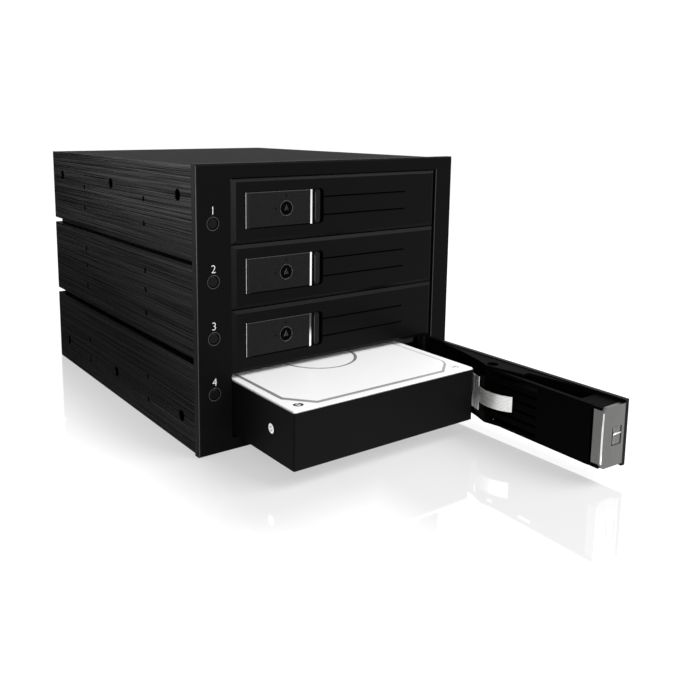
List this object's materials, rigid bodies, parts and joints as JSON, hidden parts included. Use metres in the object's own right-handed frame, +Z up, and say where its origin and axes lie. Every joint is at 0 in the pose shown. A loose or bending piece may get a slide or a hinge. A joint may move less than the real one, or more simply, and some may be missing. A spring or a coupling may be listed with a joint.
{
  "type": "hot swap drive cage",
  "caption": "Black hot swap cage for hard drives, with hinged latching doors in front; the lowest door is open and a drive slides half out.",
  "frame": {"origin": "under the middle of the case, on its bottom face, halfway between bezel face and rear panel", "axes": "+Z up, -Y out of the doors, +X towards the door hinges"},
  "size_m": [0.1486, 0.3199, 0.1278],
  "materials": {
    "bezel_black": "fine textured black",
    "door_black": "fine textured black",
    "frame_black": "moulded black",
    "side_black": "brushed and anodised black",
    "cover_grey": "smooth dark grey",
    "inner_black": "painted black",
    "zinc": "bright zinc plated",
    "steel": "polished spring steel",
    "screw_black": "blackened",
    "plated": "bright plated",
    "lock_metal": "satin plated",
    "lens": "smoky clear",
    "board_green": "circuit board",
    "socket_black": "moulded black",
    "fan_black": "moulded black",
    "rail_black": "slippery plastic",
    "drive_black": "cast and coated black",
    "drive_bright": "bright pressed sheet"
  },
  "bodies": {
    "cage": {"bezel": "bezel_black", "hinge_rod": "steel", "left_side_panel": "side_black", "right_side_panel": "side_black", "bottom_cover": "cover_grey", "top_cover": "cover_grey", "side_screws": "screw_black", "rear_panel": "cover_grey", "rear_screws": "zinc", "left_bay_wall": "inner_black", "right_bay_wall": "zinc", "drive_rails": "rail_black", "backplane": "board_green", "drive_sockets": "socket_black", "data_sockets": "socket_black", "power_sockets": "socket_black", "lamp_lenses": "lens", "lamp_board": "board_green", "fan_housing": "fan_black", "fan_guard": "zinc", "fan_screws": "zinc"},
    "fan_rotor": {"fan_rotor": "fan_black"},
    "drive": {"drive_casting": "drive_black", "drive_board": "board_green", "drive_plug": "socket_black", "drive_lid": "drive_bright", "drive_lid_screws": "drive_bright", "drive_side_screws": "plated"},
    "door_1": {"door_1_face": "door_black", "door_1_frame": "frame_black", "door_1_end_cap": "plated", "door_1_spring": "steel"},
    "lever_1": {"latch_1_lever": "door_black", "latch_1_trim": "plated"},
    "lock_1": {"lock_1_core": "lock_metal"},
    "tongue_1": {"latch_1_tongue": "frame_black"},
    "door_2": {"door_2_face": "door_black", "door_2_frame": "frame_black", "door_2_end_cap": "plated", "door_2_spring": "steel"},
    "lever_2": {"latch_2_lever": "door_black", "latch_2_trim": "plated"},
    "lock_2": {"lock_2_core": "lock_metal"},
    "tongue_2": {"latch_2_tongue": "frame_black"},
    "door_3": {"door_3_face": "door_black", "door_3_frame": "frame_black", "door_3_end_cap": "plated", "door_3_spring": "steel"},
    "lever_3": {"latch_3_lever": "door_black", "latch_3_trim": "plated"},
    "lock_3": {"lock_3_core": "lock_metal"},
    "tongue_3": {"latch_3_tongue": "frame_black"},
    "door_4": {"door_4_face": "door_black", "door_4_frame": "frame_black", "door_4_end_cap": "plated", "door_4_spring": "steel"},
    "lever_4": {"latch_4_lever": "door_black", "latch_4_trim": "plated"},
    "lock_4": {"lock_4_core": "lock_metal"},
    "tongue_4": {"latch_4_tongue": "frame_black"}
  },
  "joints": [
    {"name": "fan_spin", "type": "hinge", "parent": "cage", "child": "fan_rotor", "pos_m": [0.014, 0.10065, 0.0635], "axis": [0, 1, 0], "continuous": true},
    {"name": "drive_slide", "type": "slide", "parent": "cage", "child": "drive", "axis": [0, -1, 0], "range_m": [-0.0692, 0]},
    {"name": "door_1_swing", "type": "hinge", "parent": "cage", "child": "door_1", "pos_m": [0.0602, -0.09055, 0.10704], "axis": [0, 0, 1], "range_deg": [0, 90]},
    {"name": "lever_1_swing", "type": "hinge", "parent": "door_1", "child": "lever_1", "pos_m": [-0.0482, -0.0908, 0.10704], "axis": [0, 0, -1], "range_deg": [0, 30], "stiffness_Nm_per_rad": 0.01},
    {"name": "tongue_1_slide", "type": "slide", "parent": "door_1", "child": "tongue_1", "axis": [1, 0, 0], "range_m": [0, 0.0023]},
    {"name": "lock_1_turn", "type": "hinge", "parent": "lever_1", "child": "lock_1", "pos_m": [-0.0289, -0.08915, 0.10704], "axis": [0, -1, 0], "range_deg": [0, 90]},
    {"name": "door_2_swing", "type": "hinge", "parent": "cage", "child": "door_2", "pos_m": [0.0602, -0.09055, 0.07811], "axis": [0, 0, 1], "range_deg": [0, 90]},
    {"name": "lever_2_swing", "type": "hinge", "parent": "door_2", "child": "lever_2", "pos_m": [-0.0482, -0.0908, 0.07811], "axis": [0, 0, -1], "range_deg": [0, 30], "stiffness_Nm_per_rad": 0.01},
    {"name": "tongue_2_slide", "type": "slide", "parent": "door_2", "child": "tongue_2", "axis": [1, 0, 0], "range_m": [0, 0.0023]},
    {"name": "lock_2_turn", "type": "hinge", "parent": "lever_2", "child": "lock_2", "pos_m": [-0.0289, -0.08915, 0.07811], "axis": [0, -1, 0], "range_deg": [0, 90]},
    {"name": "door_3_swing", "type": "hinge", "parent": "cage", "child": "door_3", "pos_m": [0.0602, -0.09055, 0.04919], "axis": [0, 0, 1], "range_deg": [0, 90]},
    {"name": "lever_3_swing", "type": "hinge", "parent": "door_3", "child": "lever_3", "pos_m": [-0.0482, -0.0908, 0.04919], "axis": [0, 0, -1], "range_deg": [0, 30], "stiffness_Nm_per_rad": 0.01},
    {"name": "tongue_3_slide", "type": "slide", "parent": "door_3", "child": "tongue_3", "axis": [1, 0, 0], "range_m": [0, 0.0023]},
    {"name": "lock_3_turn", "type": "hinge", "parent": "lever_3", "child": "lock_3", "pos_m": [-0.0289, -0.08915, 0.04919], "axis": [0, -1, 0], "range_deg": [0, 90]},
    {"name": "door_4_swing", "type": "hinge", "parent": "cage", "child": "door_4", "pos_m": [0.0602, -0.09055, 0.02026], "axis": [0, 0, 1], "range_deg": [-90, 0]},
    {"name": "lever_4_swing", "type": "hinge", "parent": "door_4", "child": "lever_4", "pos_m": [0.06045, -0.19895, 0.02026], "axis": [0, 0, -1], "range_deg": [0, 30], "stiffness_Nm_per_rad": 0.01},
    {"name": "tongue_4_slide", "type": "slide", "parent": "door_4", "child": "tongue_4", "axis": [0, 1, 0], "range_m": [0, 0.0023]},
    {"name": "lock_4_turn", "type": "hinge", "parent": "lever_4", "child": "lock_4", "pos_m": [0.0588, -0.17965, 0.02026], "axis": [1, 0, 0], "range_deg": [0, 90]}
  ],
  "couplings": [
    {"joint": "tongue_1_slide", "follows": "lever_1_swing", "m_per_rad": 0.00439},
    {"joint": "tongue_2_slide", "follows": "lever_2_swing", "m_per_rad": 0.00439},
    {"joint": "tongue_3_slide", "follows": "lever_3_swing", "m_per_rad": 0.00439},
    {"joint": "tongue_4_slide", "follows": "lever_4_swing", "m_per_rad": 0.00439},
    {"joint": "door_4_swing", "follows": "drive_slide", "rad_per_m": 22.69}
  ]
}
